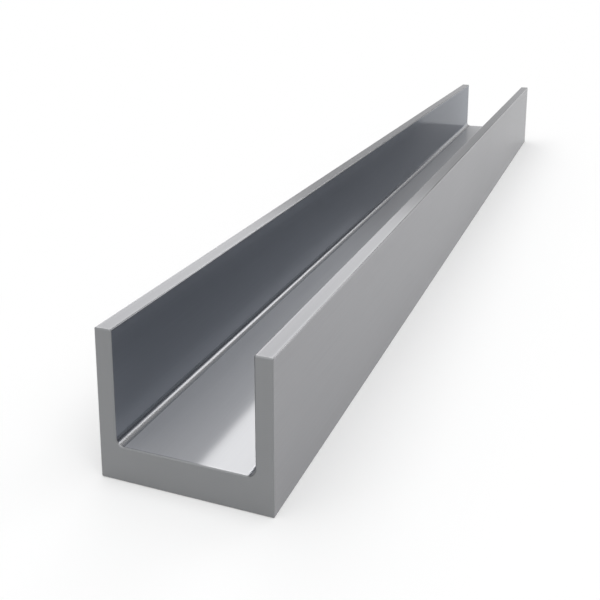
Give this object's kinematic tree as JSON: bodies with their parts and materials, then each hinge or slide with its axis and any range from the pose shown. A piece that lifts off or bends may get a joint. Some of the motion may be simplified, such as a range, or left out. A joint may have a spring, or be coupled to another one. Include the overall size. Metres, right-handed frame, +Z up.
{
  "type": "metal channel section",
  "caption": "Straight cut length of heavy-walled metal channel with square flanges, a thick web, small root fillets and sawn ends, used as framing or rail stock.",
  "frame": {"origin": "on the underside of the web, under the middle of the length and of the width", "axes": "+X across the section, +Y along the length, +Z up out of the open side, towards the flange tips"},
  "size_m": [0.1, 1, 0.085],
  "materials": {
    "bare_steel": "bare stainless metal, drawn smooth along the length, sawn ends"
  },
  "bodies": {
    "root": {"channel": "bare_steel"}
  },
  "joints": []
}
